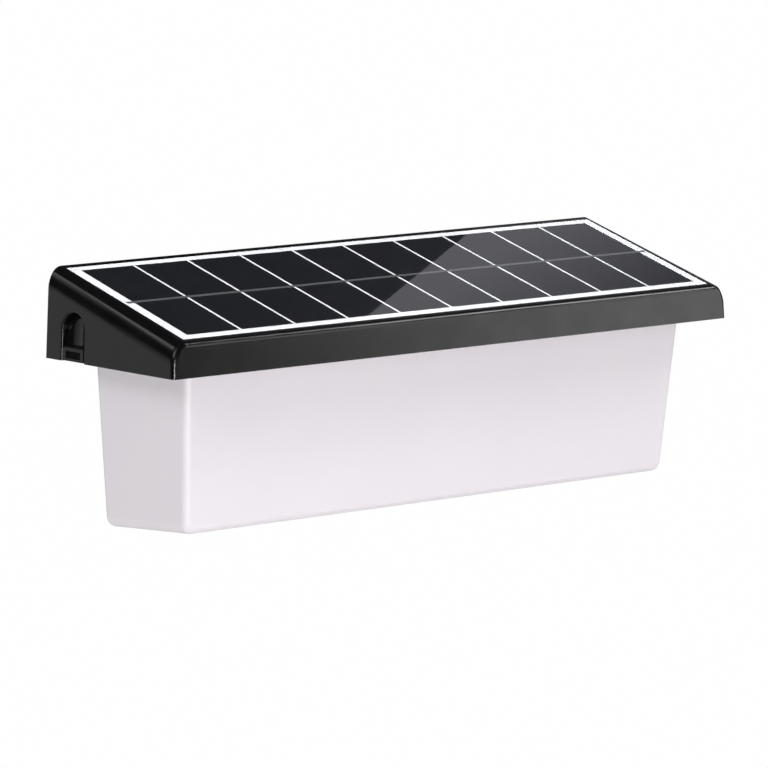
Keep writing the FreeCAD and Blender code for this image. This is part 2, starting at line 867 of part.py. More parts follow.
def tapered_box(name, inset, high, edge_radius, end_radius):
    body = new_body(name)
    low = lens_bottom(as_size(0), as_size(0)) - OVERCUT
    sections = []
    for up in (high, low):
        section = new_sketch(body, f"{name}_section", "XY_Plane", up)
        across = lens_half(up) - inset
        add_rectangle(
            section,
            (-across, across),
            (-lens_front_out(up) + inset, -lens_rear_out(up) - inset),
        )
        sections.append(section)
    loft(body, "Additive", f"{name}_taper", sections)

    below = new_sketch(body, f"{name}_bottom_line", "YZ_Plane")
    far, near = flange_front, flange_rear
    add_polygon(
        below,
        [
            (-far, lens_bottom(far, inset)),
            (-near, lens_bottom(near, inset)),
            (-near, low - OVERCUT),
            (-far, low - OVERCUT),
        ],
    )
    extrude(body, "Pocket", f"{name}_bottom", below, 2 * flange_half, both_ways=True)

    def on_bottom(edge):
        place = middle_of(edge)
        return abs(place.z - lens_bottom(as_size(-place.y), inset).number) < NEAR

    def bottom_end(edge):
        place = middle_of(edge)
        return on_bottom(edge) and abs(place.x) > NEAR

    def front_or_rear(edge):
        place = middle_of(edge)
        up = as_size(place.z)
        front = abs(place.y + lens_front_out(up).number - inset.number) < NEAR
        rear = abs(place.y + lens_rear_out(up).number + inset.number) < NEAR
        return (front or rear) and abs(place.z - high.number) > NEAR

    round_edges(body, f"{name}_end_round", bottom_end, end_radius)
    round_edges(body, f"{name}_face_round", front_or_rear, edge_radius)
    return body


def make_diffuser():
    outside = tapered_box("diffuser_outside", as_size(0), flange_top, s.lens_edge_radius, s.lens_end_radius)
    inside = tapered_box(
        "diffuser_inside",
        s.lens_wall,
        flange_top + OVERCUT,
        s.lens_inner_radius,
        s.lens_end_radius - s.lens_wall,
    )
    flange = box(
        "diffuser_flange",
        (-flange_half, flange_half),
        (-flange_front, -flange_rear),
        (plate_top, flange_top),
    )
    return cut("diffuser", fuse("diffuser_solid", outside, flange), inside)


def make_diffuser_gasket():
    ring = box(
        "gasket_outline",
        (-flange_half, flange_half),
        (-flange_front, -flange_rear),
        (flange_top, tray_bottom),
    )
    hole = box(
        "gasket_hole",
        (-lens_mouth_half, lens_mouth_half),
        (-lens_mouth_front, -lens_mouth_rear),
        (flange_top - OVERCUT, tray_bottom + OVERCUT),
    )
    return cut("diffuser_gasket", ring, hole)


# Bottom plate: closes the underside round the diffuser, hooks into the rear wall and is screwed up.


def make_bottom_plate():
    body = new_body("bottom_plate")
    outline = new_sketch(body, "plate_outline", "XY_Plane", s.plate_recess)
    wide = end_inside(plate_top) - s.plate_clearance
    narrow = sealed_end - s.plate_clearance
    rear = -cavity_rear - s.plate_clearance
    step = -sealed_rear_out - s.plate_clearance
    front = -cavity_front + s.plate_clearance
    add_polygon(
        outline,
        [
            (-wide, front),
            (wide, front),
            (wide, step),
            (narrow, step),
            (narrow, rear),
            (-narrow, rear),
            (-narrow, step),
            (-wide, step),
        ],
    )
    opening = lens_half(plate_top) + s.lens_clearance
    add_rectangle(
        outline,
        (-opening, opening),
        (-lens_front_out(plate_top) - s.lens_clearance, -lens_rear_out(plate_top) + s.lens_clearance),
    )
    extrude(body, "Pad", "plate", outline, s.plate_thickness)

    hooks = new_sketch(body, "hook_outline", "XY_Plane", s.plate_recess)
    for x in hook_places:
        add_rectangle(hooks, centred(x, s.hook_width), (rear - s.plate_clearance, rear + s.hook_reach))
    extrude(body, "Pad", "hooks", hooks, s.plate_thickness)

    posts = new_sketch(body, "post_outline", "XY_Plane", s.plate_recess)
    for x, y in tray_screw_places:
        add_circle(posts, x, y, s.post_radius)
    extrude(body, "Pad", "posts", posts, tray_bottom - s.plate_recess)

    holes = new_sketch(body, "plate_hole_outline", "XY_Plane", s.plate_recess - OVERCUT)
    for x, y in plate_screw_places:
        add_circle(holes, x, y, clear_radius)
    for x, y in tray_screw_places:
        add_circle(holes, x, y, s.pilot_radius)
    add_circle(holes, button_x, -button_out, s.button_radius + s.running_clearance)
    extrude(body, "Pocket", "plate_holes", holes, tray_bottom + 2 * OVERCUT, reverse=True)
    return body


def screw(name, place, seat, reach, upward):
    """Screw whose head rests on the seat level; its shank, as thick as the thread's root, runs from there."""
    way = 1 if upward else -1
    head_end, shank_end = seat - way * s.screw_head_height, seat + way * reach
    levels = (head_end, seat) if upward else (seat, head_end)
    shank = (seat, shank_end) if upward else (shank_end, seat)
    head = rod(f"{name}_head", "z", place, levels, s.screw_head_radius)
    return fuse(name, head, rod(f"{name}_shank", "z", place, shank, s.pilot_radius))


def make_plate_screws():
    screws = [
        screw("plate_screw", place, s.plate_recess, s.plate_screw_reach, True)
        for place in plate_screw_places
    ]
    return group("plate_screws", screws)


# LED tray: clamps the gasket, carries the light source below and the battery and electronics above.

strap_inner = s.cell_radius + s.running_clearance
strap_outer = strap_inner + s.strap_thickness
strap_reach = strap_outer + s.strap_foot
trough_bore = s.cell_radius + s.battery_clearance
trough_outer = trough_bore + s.trough_wall
battery_out = lens_mouth_rear + s.battery_rear_gap + trough_outer
battery_height = ceiling(battery_out) - (strap_outer + s.battery_roof_gap) / cos_of(s.slope_angle)
battery_axis = (-battery_out, battery_height)
strap_screw_places = [(as_size(0), -battery_out + step) for step in spread(2 * strap_outer + s.strap_foot, 2)]

led_board_half = lens_mouth_half - s.led_board_end_gap
led_board_front = lens_mouth_front - s.led_board_front_gap
led_board_rear = battery_out + trough_outer + s.led_board_rear_gap
led_board_out = (led_board_front + led_board_rear) / 2
led_places = spread(2 * (led_board_half - s.led_end_margin), LED_COUNT)
led_step = led_places[1] - led_places[0]
led_screw_span = LED_SCREW_STEP * (LED_SCREW_COUNT - 1) * led_step
led_screw_places = [(x, -led_board_out) for x in spread(led_screw_span, LED_SCREW_COUNT)]
led_lead_hole = (LED_LEAD_STEP * led_step, -led_board_out)

board_screw_places = [
    (board_left + s.board_screw_inset, -board_front + s.board_screw_inset),
    (board_right - s.board_screw_inset, -board_front + s.board_screw_inset),
    (board_right - s.board_screw_inset, -board_rear - s.board_screw_inset),
]
board_bottom = tray_top + s.board_lift
board_top = board_bottom + s.board_thickness


def make_led_tray():
    levels = (tray_bottom, tray_top)
    plate = box("tray_plate", (-flange_half, flange_half), (-flange_front, -flange_rear), levels)
    ears = []
    for x, y in tray_screw_places:
        side = 1 if x.number > 0 else -1
        inner, outer = side * (flange_half - OVERCUT), x + side * s.post_radius
        across = (inner, outer) if side > 0 else (outer, inner)
        ears.append(box("tray_ear", across, centred(y, s.ear_width), levels))
    space = s.battery_length / 2 + s.battery_end_room
    walls = (-space - s.trough_wall, space + s.trough_wall)
    outside = rod("trough_outside", "x", battery_axis, walls, trough_outer)
    below = box(
        "trough_half",
        walls,
        centred(-battery_out, 2 * trough_outer),
        (battery_height - trough_outer, tray_top),
    )
    bosses = [
        rod("led_boss", "z", place, (tray_top, tray_top + s.led_boss_height), s.post_radius)
        for place in led_screw_places
    ]
    for place in board_screw_places:
        bosses.append(rod("board_post", "z", place, (tray_top, board_bottom), s.post_radius))
    solid = fuse("tray_solid", plate, common("trough", outside, below), *ears, *bosses)
    drilled = (tray_bottom - OVERCUT, board_bottom + s.led_boss_height)
    tools = [
        rod("trough_bore", "x", battery_axis, (-space, space), trough_bore),
        box(
            "trough_mouth",
            (-space, space),
            centred(-battery_out, 2 * trough_bore),
            (battery_height, battery_height + trough_bore),
        ),
        rod("tray_lead_way", "z", led_lead_hole, drilled, s.lead_way_radius),
    ]
    tools += [rod("ear_hole", "z", place, drilled, clear_radius) for place in tray_screw_places]
    for place in led_screw_places + board_screw_places + strap_screw_places:
        tools.append(rod("tray_pilot", "z", place, drilled, s.pilot_radius))
    return cut("led_tray", solid, *tools)


def make_tray_screws():
    screws = [screw("tray_screw", place, tray_top, s.tray_screw_reach, False) for place in tray_screw_places]
    return group("tray_screws", screws)


led_board_bottom = tray_bottom - s.led_board_thickness


def make_led_board():
    board = box(
        "led_board_blank",
        (-led_board_half, led_board_half),
        (-led_board_front, -led_board_rear),
        (led_board_bottom, tray_bottom),
    )
    through = (led_board_bottom - OVERCUT, tray_bottom + OVERCUT)
    holes = [rod("led_board_hole", "z", place, through, clear_radius) for place in led_screw_places]
    holes.append(rod("led_lead_way", "z", led_lead_hole, through, s.lead_way_radius))
    return cut("led_board", board, *holes)


def make_leds():
    across = centred(-led_board_rear - s.led_row_inset, s.led_width)
    levels = (led_board_bottom - s.led_height, led_board_bottom)
    return group("leds", [box("led", centred(x, s.led_length), across, levels) for x in led_places])


def make_led_board_screws():
    screws = [
        screw("led_board_screw", place, led_board_bottom, s.led_screw_reach, True)
        for place in led_screw_places
    ]
    return group("led_board_screws", screws)


# Battery: one round cell in the tray's trough under a spring-steel strap.


def make_battery_cell():
    half = s.battery_length / 2
    can = rod("battery_can", "x", battery_axis, (-half, half), s.cell_radius)
    nub = rod("battery_nub", "x", battery_axis, (half, half + s.nub_height), s.nub_radius)
    return fuse("battery_cell", can, nub)


def make_battery_strap():
    width = (-s.strap_width / 2, s.strap_width / 2)
    upper_levels = (tray_top, battery_height + strap_outer)
    ring = common(
        "strap_arch",
        rod("strap_outside", "x", battery_axis, width, strap_outer),
        box("strap_upper", width, centred(-battery_out, 2 * strap_outer), upper_levels),
    )
    foot_levels = (tray_top, tray_top + s.strap_thickness)
    feet = box("strap_feet", width, centred(-battery_out, 2 * strap_reach), foot_levels)
    bore = rod("strap_bore", "x", battery_axis, (-s.strap_width, s.strap_width), strap_inner)
    through = (tray_top - OVERCUT, tray_top + s.strap_thickness + OVERCUT)
    holes = [rod("strap_hole", "z", place, through, clear_radius) for place in strap_screw_places]
    return cut("battery_strap", fuse("strap_solid", ring, feet), bore, *holes)


def make_strap_screws():
    seat = tray_top + s.strap_thickness
    screws = [screw("strap_screw", place, seat, s.strap_screw_reach, False) for place in strap_screw_places]
    return group("strap_screws", screws)


# Control board with its plug sockets and parts; one arm carries the switch over the push button.


def make_control_board():
    body = new_body("control_board")
    outline = new_sketch(body, "board_outline", "XY_Plane", board_bottom)
    arm_front, arm_rear = centred(-button_out, s.board_arm_width)
    arm_end = button_x + s.switch_size / 2 + s.board_arm_margin
    add_polygon(
        outline,
        [
            (board_left, -board_front),
            (board_right, -board_front),
            (board_right, arm_front),
            (arm_end, arm_front),
            (arm_end, arm_rear),
            (board_right, arm_rear),
            (board_right, -board_rear),
            (board_left, -board_rear),
        ],
    )
    for x, y in board_screw_places:
        add_circle(outline, x, y, clear_radius)
    extrude(body, "Pad", "board", outline, s.board_thickness)
    return body


def make_board_screws():
    reach = s.board_thickness + s.board_lift + s.tray_thickness
    screws = [screw("board_screw", place, board_top, reach, False) for place in board_screw_places]
    return group("board_screws", screws)


socket_rear = -board_rear - s.socket_rear_inset
socket_middles = [socket_rear - i * s.socket_pitch for i in range(SOCKET_COUNT)]
socket_levels = (board_top, board_top + s.socket_height)


def make_lead_sockets():
    sockets = [
        box(
            "lead_socket",
            (board_left, board_left + s.socket_length),
            centred(middle, s.socket_width),
            socket_levels,
        )
        for middle in socket_middles
    ]
    return group("lead_sockets", sockets)


def make_board_parts():
    """Storage capacitor, coil and two chips, in a row from the rear to the front of the board."""
    middle = (board_left + board_right) / 2
    rear = -board_rear - s.board_screw_inset
    capacitor = rod(
        "capacitor", "z", (middle, rear), (board_top, board_top + s.capacitor_height), s.capacitor_radius
    )
    coil = box(
        "coil",
        centred(middle + 2 * s.coil_size, s.coil_size),
        centred(socket_middles[1], s.coil_size),
        (board_top, board_top + s.coil_height),
    )
    chips = [
        box(
            "chip",
            centred(middle + side * s.chip_length, s.chip_length),
            centred(socket_middles[2], s.chip_width),
            (board_top, board_top + s.chip_height),
        )
        for side in (-1, 1)
    ]
    return group("board_parts", [capacitor, coil] + chips)


# Switch under the board's arm, its plunger, and the rubber button in the bottom plate that pushes it.

switch_bottom = board_bottom - s.switch_height
button_flange_top = plate_top + s.button_flange_height
plunger_top = switch_bottom + s.switch_height / 2
switch_place = (button_x, -button_out)


def make_switch_body():
    case = box(
        "switch_case",
        centred(button_x, s.switch_size),
        centred(-button_out, s.switch_size),
        (switch_bottom, board_bottom),
    )
    depth = (switch_bottom - OVERCUT, plunger_top + s.switch_travel + s.running_clearance)
    well = rod("switch_well", "z", switch_place, depth, s.plunger_radius + s.running_clearance)
    return cut("switch_body", case, well)


def make_switch_plunger():
    return rod("switch_plunger", "z", switch_place, (button_flange_top, plunger_top), s.plunger_radius)


def make_power_button():
    body = new_body("power_button")
    outline = new_sketch(body, "button_outline", "XZ_Plane")
    tip = s.plate_recess - s.button_proud
    points = [
        (0, tip),
        (s.button_radius - s.button_dome, tip),
        (s.button_radius, tip + s.button_dome),
        (s.button_radius, plate_top),
        (s.button_flange_radius, plate_top),
        (s.button_flange_radius, button_flange_top),
        (0, button_flange_top),
    ]
    add_polygon(outline, points)
    turn = body.newObject("PartDesign::Revolution", "button")
    turn.Profile = outline
    turn.ReferenceAxis = (outline, ["V_Axis"])
    turn.Angle = 360
    bind(body, "Placement.Base.x", button_x)
    bind(body, "Placement.Base.y", -button_out)
    return body


# Leads: two limp wires in each run, straight stretches joined by tangent arcs.


def lead(points):
    """Round wire along a run of points, with an arc in place of each inner point."""
    edges = []
    start = points[0]
    for before, corner, after in zip(points, points[1:], points[2:]):
        back = before - corner
        ahead = after - corner
        trim = BEND_SHARE * min(back.Length, ahead.Length)
        back.normalize()
        ahead.normalize()
        turn = math.pi - back.getAngle(ahead)
        radius = trim / math.tan(turn / 2)
        into = corner + back * trim
        out = corner + ahead * trim
        inward = (back + ahead).normalize()
        middle = corner + inward * (radius / math.cos(turn / 2) - radius)
        edges.append(Part.LineSegment(start, into).toShape())
        edges.append(Part.Arc(into, middle, out).toShape())
        start = out
        print(f"lead bend radius {radius:.1f} mm")
    edges.append(Part.LineSegment(start, points[-1]).toShape())
    path = Part.Wire(edges)
    direction = points[1] - points[0]
    section = Part.Wire(Part.Circle(points[0], direction, s.lead_radius.number).toShape())
    return path.makePipeShell([section], True, False)


def lead_pair(name, routes):
    item = doc.addObject("Part::Feature", name)
    item.Shape = Part.makeCompound([lead(points) for points in routes])
    return item


def socket_entry(index, side):
    """Where a lead meets the left face of a plug socket."""
    y = socket_middles[index] + side * s.lead_pitch / 2
    return Vector(board_left.number, y.number, (board_top + s.socket_height / 2).number)


def make_panel_leads():
    floor_top = ceiling(s.grommet_out) + s.roof_floor / cos_of(s.slope_angle)
    routes = []
    for (x, y), side in zip(panel_lead_holes, (1, -1)):
        plug = socket_entry(0, side)
        hole = Vector(x.number, y.number, floor_top.number)
        below = hole - Vector(0, 0, s.panel_lead_drop.number)
        slack = Vector(
            hole.x + s.panel_lead_step.number,
            plug.y + s.panel_lead_swing.number,
            plug.z + s.panel_lead_lift.number,
        )
        routes.append([hole, below, slack, plug - Vector(s.panel_lead_run.number, 0, 0), plug])
    return lead_pair("panel_leads", routes)


def make_battery_leads():
    end = (s.battery_length / 2 + s.battery_end_room / 2).number
    routes = []
    for side in (-1, 1):
        plug = socket_entry(1, side)
        tab = Vector(end, (side * s.lead_pitch / 2 - battery_out).number, battery_height.number)
        above = tab + Vector(0, -s.battery_lead_lean.number, s.battery_lead_rise.number)
        slack = Vector(
            end + s.battery_lead_step.number,
            plug.y + s.battery_lead_swing.number,
            plug.z + s.battery_lead_lift.number,
        )
        routes.append([tab, above, slack, plug - Vector(s.battery_lead_run.number, 0, 0), plug])
    return lead_pair("battery_leads", routes)


def make_led_leads():
    x, y = (value.number for value in led_lead_hole)
    routes = []
    for side in (-1, 1):
        plug = socket_entry(2, side)
        joint = Vector(x, y + side * s.lead_pitch.number / 2, led_board_bottom.number)
        above = Vector(joint.x, joint.y, plug.z + s.led_lead_lift.number)
        routes.append([joint, above, plug - Vector(s.led_lead_run.number, 0, 0), plug])
    return lead_pair("led_leads", routes)


# Wall bracket: a ribbed plate with two screw holes; a bar at each end carries a release tab.

pivot_x = latch_outside - s.tab_wall_gap - s.tab_thickness / 2
pivot_height = bracket_top - s.tab_bar_depth - s.tab_bead_drop
bead_radius = s.tab_thickness / 2
bracket_half = latch_outside - s.bracket_end_gap


def make_wall_bracket():
    body = new_body("bracket_plate")
    outline = new_sketch(body, "bracket_outline", "XZ_Plane")
    add_rectangle(outline, (-bracket_half, bracket_half), (s.bracket_lift, bracket_top))
    for x in spread(s.wall_hole_spread, 2):
        add_circle(outline, x, s.bracket_lift + s.bracket_height / 2, s.wall_hole_radius)
    extrude(body, "Pad", "bracket_web", outline, s.bracket_thickness)
    ribs = new_sketch(body, "bracket_rib_outline", "XZ_Plane")
    for low in (s.bracket_lift, bracket_top - s.bracket_rib):
        add_rectangle(ribs, (-sealed_end, sealed_end), (low, low + s.bracket_rib))
    extrude(body, "Pad", "bracket_ribs", ribs, s.bracket_thickness + s.bracket_rib_depth)

    bars = []
    grooves = []
    tip = -notch_front - s.tab_side_gap
    for side in (-1, 1):
        inner = side * (pivot_x - bead_radius - s.tab_bar_gap)
        outer = side * bracket_half
        across = (inner, outer) if side > 0 else (outer, inner)
        levels = (bracket_top - s.tab_bar_depth, bracket_top)
        bars.append(box("tab_bar", across, (tip, -s.bracket_thickness + OVERCUT), levels))
        axis = (side * pivot_x, pivot_height)
        span = (tip - OVERCUT, -s.bracket_thickness)
        grooves.append(rod("tab_groove", "y", axis, span, bead_radius + s.running_clearance / 2))
    return cut("wall_bracket", fuse("bracket_solid", body, *bars), *grooves)


def make_release_tab(side):
    """Spring tongue: a bead that rolls in the bar's groove, a leaning dished pad and a catch block."""
    name = "right_release_tab" if side > 0 else "left_release_tab"
    body = new_body(name)
    rear, front = -s.notch_rear - s.tab_side_gap, -notch_front + s.tab_side_gap
    inner = side * (pivot_x - bead_radius)
    outer = side * (pivot_x + bead_radius)

    def block_face(up):
        return side * (half_length - up * end_lean - s.tab_block_sink)

    foot, ledge, crown = s.tab_foot_gap, s.tab_block_height, pivot_height
    pad_low = block_face(ledge) - side * s.tab_ledge_depth
    profile = new_sketch(body, f"{name}_profile", "XZ_Plane", -rear)
    add_polygon(
        profile,
        [
            (inner, foot),
            (block_face(foot), foot),
            (block_face(ledge), ledge),
            (pad_low, ledge),
            (outer, crown - s.tab_pad_drop),
            (outer, crown),
            (inner, crown),
        ],
    )
    extrude(body, "Pad", f"{name}_tongue", profile, rear - front)
    bead = new_sketch(body, f"{name}_bead_outline", "XZ_Plane", -rear)
    add_circle(bead, side * pivot_x, crown, bead_radius)
    extrude(body, "Pad", f"{name}_bead", bead, rear - front)

    middle = (rear + front) / 2
    low = s.tab_mark_low
    high = low + s.tab_mark_height
    mark = new_sketch(body, f"{name}_mark_profile", "XZ_Plane", -middle - s.tab_mark_width / 2)
    add_polygon(
        mark,
        [
            (block_face(low), low),
            (block_face(low) + side * OVERCUT, low),
            (block_face(low) + side * OVERCUT, high),
            (block_face(high) - side * s.tab_mark_depth, high),
        ],
    )
    extrude(body, "Pocket", f"{name}_mark", mark, s.tab_mark_width, reverse=True)

    dish_top = crown - bead_radius
    dish_low = pad_low - side * s.tab_dish_depth
    lean = angle_of(outer - dish_low, dish_top - ledge)
    dish = new_sketch(body, f"{name}_dish_outline", "XY_Plane", ledge)
    dish.AttachmentOffset = Placement(Vector(0, 0, ledge.number), Rotation(Vector(0, 1, 0), lean.number))
    bind(dish, "AttachmentOffset.Rotation.Angle", lean)
    bind(dish, "AttachmentOffset.Base.x", dish_low)
    add_circle(dish, side * s.tab_dish_radius, middle, s.tab_dish_radius)
    extrude(body, "Pocket", f"{name}_dish", dish, dish_top - ledge, reverse=True)

    def on_ledge(edge):
        place = middle_of(edge)
        at_ledge = abs(place.z - ledge.number) < NEAR
        return at_ledge and abs(place.x - block_face(ledge).number) < NEAR

    round_edges(body, f"{name}_ledge_round", on_ledge, s.tab_ledge_radius)
    return body


# The finished nodes, each lowered so that the origin is the middle of the bracket's back face.


def build():
    nodes = {"housing": make_housing()}
    panel = make_panel()
    nodes["lead_grommet"] = make_lead_grommet()
    nodes["diffuser"] = make_diffuser()
    nodes["diffuser_gasket"] = make_diffuser_gasket()
    nodes["bottom_plate"] = make_bottom_plate()
    nodes["plate_screws"] = make_plate_screws()
    nodes["led_tray"] = make_led_tray()
    nodes["tray_screws"] = make_tray_screws()
    nodes["led_board"] = make_led_board()
    nodes["leds"] = make_leds()
    nodes["led_board_screws"] = make_led_board_screws()
    nodes["battery_cell"] = make_battery_cell()
    nodes["battery_strap"] = make_battery_strap()
    nodes["strap_screws"] = make_strap_screws()
    nodes["control_board"] = make_control_board()
    nodes["board_screws"] = make_board_screws()
    nodes["lead_sockets"] = make_lead_sockets()
    nodes["board_parts"] = make_board_parts()
    nodes["switch_body"] = make_switch_body()
    nodes["switch_plunger"] = group("plunger_set", [make_switch_plunger()])
    nodes["power_button"] = make_power_button()
    nodes["panel_leads"] = make_panel_leads()
    nodes["battery_leads"] = make_battery_leads()
    nodes["led_leads"] = make_led_leads()
    nodes["wall_bracket"] = make_wall_bracket()
    nodes["left_release_tab"] = make_release_tab(-1)
    nodes["right_release_tab"] = make_release_tab(1)

    for item in nodes.values():
        bind(item, "Placement.Base.z", lowering)
    for item in panel.values():
        item.Placement = Placement(Vector(), Rotation(Vector(1, 0, 0), s.slope_angle.number))
        bind(item, "Placement.Rotation.Angle", s.slope_angle)
        bind(item, "Placement.Base.z", rear_height + lowering)
    nodes.update(panel)
    for name, item in nodes.items():
        item.Label = name
    doc.recompute()
    return nodes


def check(nodes):
    for item in doc.Objects:
        if "Invalid" in item.State or "Error" in item.State:
            raise RuntimeError(f"{item.Name} failed: {item.State}")
    for name, item in nodes.items():
        if item.Shape.isNull() or not item.Shape.isValid() or not item.Shape.Solids:
            raise RuntimeError(f"{name} has no valid solid")


def write(nodes):
    os.makedirs("parts", exist_ok=True)
    for name, item in nodes.items():
        item.Shape.exportStep(os.path.join("parts", f"{name}.step"))
        print(f"{name}: {len(item.Shape.Solids)} solids, {item.Shape.Volume:.1f} mm3")


finished = build()
check(finished)
write(finished)
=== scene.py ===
import json
import math

import bmesh
import bpy
from mathutils import Matrix, Vector


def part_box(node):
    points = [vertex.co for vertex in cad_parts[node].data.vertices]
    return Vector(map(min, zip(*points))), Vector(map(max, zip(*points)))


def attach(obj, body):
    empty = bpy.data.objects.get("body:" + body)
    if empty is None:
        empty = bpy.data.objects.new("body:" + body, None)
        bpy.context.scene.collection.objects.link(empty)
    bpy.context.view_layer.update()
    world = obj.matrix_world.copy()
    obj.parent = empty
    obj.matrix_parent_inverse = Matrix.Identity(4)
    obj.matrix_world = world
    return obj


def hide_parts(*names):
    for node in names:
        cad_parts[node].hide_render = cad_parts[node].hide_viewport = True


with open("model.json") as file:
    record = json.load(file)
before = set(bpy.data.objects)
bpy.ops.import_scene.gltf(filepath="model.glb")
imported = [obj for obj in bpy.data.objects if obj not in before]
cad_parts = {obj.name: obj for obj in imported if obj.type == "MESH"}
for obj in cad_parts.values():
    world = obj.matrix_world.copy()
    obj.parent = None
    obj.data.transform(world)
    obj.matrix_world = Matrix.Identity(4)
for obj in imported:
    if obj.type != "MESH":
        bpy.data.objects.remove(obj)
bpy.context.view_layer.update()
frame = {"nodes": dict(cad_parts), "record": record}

NODES = frame["nodes"]
MM = 0.001
DEGREE = math.pi / 180
WHITE = (1, 1, 1)

# The sloping top that the panel lies in: the directions square to it and up it.
SLOPE = 15.58 * DEGREE
PANEL_NORMAL = Vector((0, -math.sin(SLOPE), math.cos(SLOPE)))
PANEL_UPHILL = Vector((0, math.cos(SLOPE), math.sin(SLOPE)))


# Nodes.


def feed(tree, socket, source):
    """Link a socket to another one, or set it to a plain value."""
    if isinstance(source, bpy.types.NodeSocket):
        tree.links.new(source, socket)
    else:
        socket.default_value = source


def math_node(tree, operation, *values):
    node = tree.nodes.new("ShaderNodeMath")
    node.operation = operation
    for socket, value in zip(node.inputs, values):
        feed(tree, socket, value)
    return node.outputs[0]


def map_range(tree, value, low, high, start=0.0, end=1.0):
    """Stretch the range from start to end of a value to the one from low to high."""
    node = tree.nodes.new("ShaderNodeMapRange")
    ends = {"Value": value, "From Min": start, "From Max": end, "To Min": low, "To Max": high}
    for name, source in ends.items():
        feed(tree, node.inputs[name], source)
    return node


def two_shader_material(name, build):
    """A material that mixes two shaders: build(tree) gives the second one's share, then both."""
    material = bpy.data.materials.new(name)
    material.use_nodes = True
    tree = material.node_tree
    tree.nodes.clear()
    mix = tree.nodes.new("ShaderNodeMixShader")
    for socket, source in zip(mix.inputs, build(tree)):
        tree.links.new(source, socket)
    output = tree.nodes.new("ShaderNodeOutputMaterial")
    tree.links.new(mix.outputs[0], output.inputs["Surface"])
    return material


def facing_back(tree):
    return tree.nodes.new("ShaderNodeNewGeometry").outputs["Backfacing"]


def place_in_frame(tree):
    """A point's place in the part's own frame, where all textures lie."""
    return tree.nodes.new("ShaderNodeTexCoord").outputs["Object"]


# Materials.


class Surface:
    """A material of one Principled shader, with short ways to feed it from textures."""

    def __init__(self, name, colour, roughness, **sockets):
        self.material = bpy.data.materials.new(name)
        self.material.use_nodes = True
        self.tree = self.material.node_tree
        self.shader = self.tree.nodes["Principled BSDF"]
        self.shader.inputs["Base Color"].default_value = (*colour, 1)
        self.shader.inputs["Roughness"].default_value = roughness
        for socket, value in sockets.items():
            self.shader.inputs[socket.replace("_", " ")].default_value = value
        self.place = place_in_frame(self.tree)

    def math(self, operation, *values):
        return math_node(self.tree, operation, *values)

    def axis(self, letter):
        split = self.tree.nodes.new("ShaderNodeSeparateXYZ")
        feed(self.tree, split.inputs[0], self.place)
        return split.outputs[letter]

    def noise(self, size, detail=3.0, stretch=(1, 1, 1)):
        """Soft noise whose blotches are about size metres across."""
        mapping = self.tree.nodes.new("ShaderNodeMapping")
        feed(self.tree, mapping.inputs["Vector"], self.place)
        mapping.inputs["Scale"].default_value = stretch
        noise = self.tree.nodes.new("ShaderNodeTexNoise")
        feed(self.tree, noise.inputs["Vector"], mapping.outputs[0])
        noise.inputs["Scale"].default_value = 1 / size
        noise.inputs["Detail"].default_value = detail
        return noise.outputs[0]

    def grains(self, size):
        """Distance to the nearest of many points about size metres apart, for pitted skins."""
        cells = self.tree.nodes.new("ShaderNodeTexVoronoi")
        feed(self.tree, cells.inputs["Vector"], self.place)
        cells.inputs["Scale"].default_value = 1 / size
        return cells.outputs["Distance"]

    def remap(self, value, low, high, start=0.3, end=0.7):
        """Stretch a value to the range from low to high. Noise lies mostly between 0.3 and 0.7."""
        return map_range(self.tree, value, low, high, start, end).outputs[0]

    def tint(self, value, *stops):
        """Colour from a ramp of (place, colour) stops."""
        ramp = self.tree.nodes.new("ShaderNodeValToRGB")
        feed(self.tree, ramp.inputs[0], value)
        elements = ramp.color_ramp.elements
        while len(elements) < len(stops):
            elements.new(0.5)
        for element, (place, colour) in zip(elements, stops):
            element.position = place
            element.color = (*colour, 1)
        feed(self.tree, self.shader.inputs["Base Color"], ramp.outputs[0])

    def rough(self, value, low, high):
        feed(self.tree, self.shader.inputs["Roughness"], self.remap(value, low, high))

    def bump(self, height, depth, strength):
        """Raise the skin by depth metres where height is one."""
        node = self.tree.nodes.new("ShaderNodeBump")
        node.inputs["Strength"].default_value = strength
        node.inputs["Distance"].default_value = depth
        feed(self.tree, node.inputs["Height"], height)
        feed(self.tree, self.shader.inputs["Normal"], node.outputs[0])


def scaled(colour, factor):
    return tuple(min(1.0, factor * part) for part in colour)


def moulded_black():
    skin = Surface("housing_black", (0.0025, 0.0025, 0.003), 0.23, Specular_IOR_Level=0.3)
    skin.tint(
        skin.noise(size=18 * MM),
        (0.25, (0.002, 0.002, 0.0023)),
        (0.75, (0.0034, 0.0033, 0.0038)),
    )
    skin.rough(skin.noise(size=9 * MM, detail=5), low=0.20, high=0.26)
    skin.bump(skin.noise(size=0.45 * MM, detail=2), depth=0.01 * MM, strength=0.2)
    return skin.material


def milky_diffuser():
    skin = Surface(
        "diffuser_milk",
        (0.82, 0.78, 0.82),
        0.22,
        Specular_IOR_Level=0.7,
        Subsurface_Weight=0.25,
        Subsurface_Radius=(1.0, 0.9, 1.0),
        Subsurface_Scale=1.5 * MM,
    )
    skin.tint(
        skin.noise(size=45 * MM, detail=2),
        (0.25, (0.82, 0.773, 0.82)),
        (0.75, (0.84, 0.798, 0.84)),
    )
    skin.rough(skin.noise(size=14 * MM, detail=4), low=0.20, high=0.25)
    skin.bump(skin.noise(size=0.6 * MM, detail=2), depth=0.01 * MM, strength=0.15)
    return skin.material


